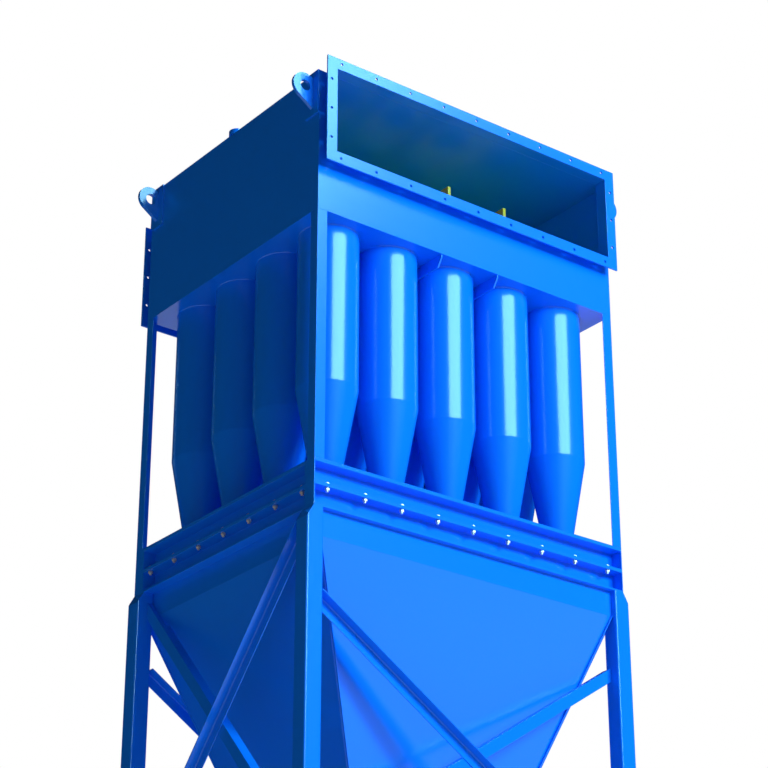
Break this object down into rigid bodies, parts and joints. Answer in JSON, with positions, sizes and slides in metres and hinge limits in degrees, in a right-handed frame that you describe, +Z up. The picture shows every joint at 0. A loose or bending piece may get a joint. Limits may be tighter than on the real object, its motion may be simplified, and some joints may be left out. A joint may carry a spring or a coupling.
{
  "type": "multi-tube cyclone separator",
  "caption": "Multi-tube cyclone dust separator: casing with two duct flanges over a nest of cone-ended tubes, a dust hopper and a braced stand.",
  "frame": {"origin": "on the ground, under the middle of the stand", "axes": "+Z up; -Y towards the clean gas outlet, +Y towards the dusty gas inlet"},
  "size_m": [1.883, 1.46, 5.897],
  "materials": {
    "blue_paint": "gloss",
    "yellow_paint": "gloss"
  },
  "bodies": {
    "root": {"back_brace_falling": "blue_paint", "back_brace_rising": "blue_paint", "back_panel": "blue_paint", "cone_plate": "blue_paint", "cyclone_frame": "blue_paint", "cyclone_row_1": "blue_paint", "cyclone_row_2": "blue_paint", "cyclone_row_3": "blue_paint", "cyclone_row_4": "blue_paint", "dust_flange": "blue_paint", "front_brace_falling": "blue_paint", "front_brace_rising": "blue_paint", "front_panel": "blue_paint", "hopper": "blue_paint", "hopper_frame": "blue_paint", "hopper_skirt": "blue_paint", "inlet_duct": "blue_paint", "inlet_flange": "blue_paint", "left_brace_falling": "blue_paint", "left_brace_rising": "blue_paint", "left_panel": "blue_paint", "leg_back_left": "blue_paint", "leg_back_right": "blue_paint", "leg_front_left": "blue_paint", "leg_front_right": "blue_paint", "lifting_lug_back_left": "blue_paint", "lifting_lug_back_right": "blue_paint", "lifting_lug_front_left": "blue_paint", "lifting_lug_front_right": "blue_paint", "outlet_duct": "blue_paint", "outlet_flange": "blue_paint", "outlet_tubes": "blue_paint", "post_back_left": "blue_paint", "post_back_right": "blue_paint", "post_front_left": "blue_paint", "post_front_right": "blue_paint", "right_brace_falling": "blue_paint", "right_brace_rising": "blue_paint", "right_panel": "blue_paint", "roof_plate": "blue_paint", "roof_socket": "blue_paint", "tube_sheet": "blue_paint", "tube_sheet_ribs": "blue_paint", "upper_sheet_ribs": "yellow_paint", "upper_tube_sheet": "yellow_paint"}
  },
  "joints": []
}
